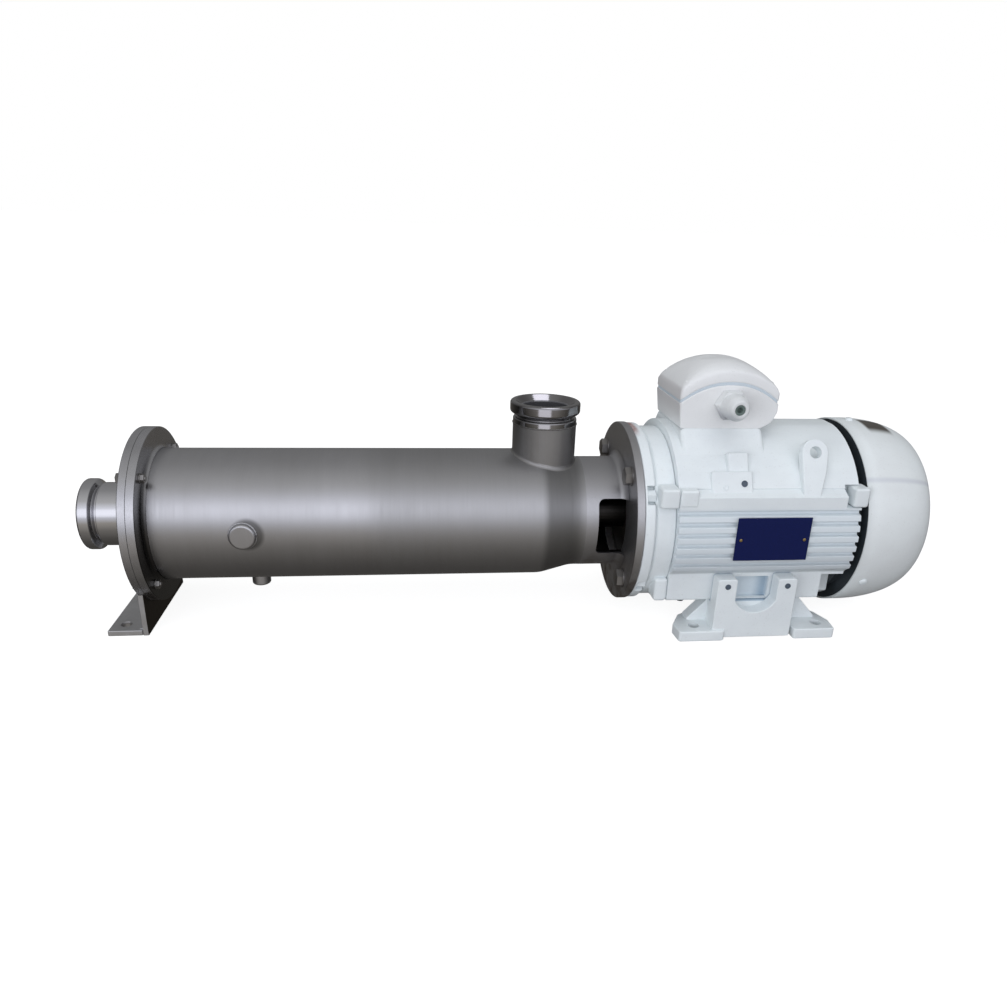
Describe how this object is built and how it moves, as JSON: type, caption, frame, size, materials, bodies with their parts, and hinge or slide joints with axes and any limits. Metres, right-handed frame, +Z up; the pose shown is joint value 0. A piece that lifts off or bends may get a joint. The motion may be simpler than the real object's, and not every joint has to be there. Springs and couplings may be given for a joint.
{
  "type": "progressive cavity pump",
  "caption": "Close-coupled stainless progressive cavity pump with side-fed rotor casing, top inlet, end discharge and a white finned electric motor on feet.",
  "frame": {"origin": "on the floor, under the middle of the machine's bounding box", "axes": "+X along the shaft from the discharge union to the fan cowl, +Z up, -Y towards the side with the nameplate and cable gland"},
  "size_m": [0.9, 0.22, 0.2868],
  "materials": {
    "turned_stainless": "turned and polished",
    "brushed_stainless": "brushed round the tube",
    "plate_stainless": "ground",
    "dull_stainless": "dull, stained",
    "bright_steel": "polished",
    "stator_rubber": "moulded",
    "white_enamel": "satin paint",
    "gland_plastic": "painted over",
    "fan_plastic": "moulded",
    "nameplate_blue": "blank printed plate"
  },
  "bodies": {
    "root": {"discharge_union": "turned_stainless", "end_cover": "plate_stainless", "casing_flange": "plate_stainless", "pump_foot_upright": "plate_stainless", "pump_foot_base": "plate_stainless", "stator_casing": "brushed_stainless", "side_boss": "brushed_stainless", "drain_stub": "turned_stainless", "stator": "stator_rubber", "rotor": "bright_steel", "suction_casing": "brushed_stainless", "inlet_branch": "brushed_stainless", "inlet_union": "turned_stainless", "coupling_rod": "bright_steel", "lantern": "brushed_stainless", "seal_housing": "dull_stainless", "drive_shaft": "bright_steel", "lantern_flange": "dull_stainless", "motor_flange": "white_enamel", "drive_end_shield": "white_enamel", "motor_housing": "white_enamel", "motor_foot_near": "white_enamel", "motor_foot_far": "white_enamel", "terminal_box": "white_enamel", "terminal_box_lid": "white_enamel", "cable_gland": "gland_plastic", "nameplate": "nameplate_blue", "rear_end_shield": "white_enamel", "fan_shaft": "bright_steel", "fan": "fan_plastic", "fan_cowl": "white_enamel"}
  },
  "joints": []
}
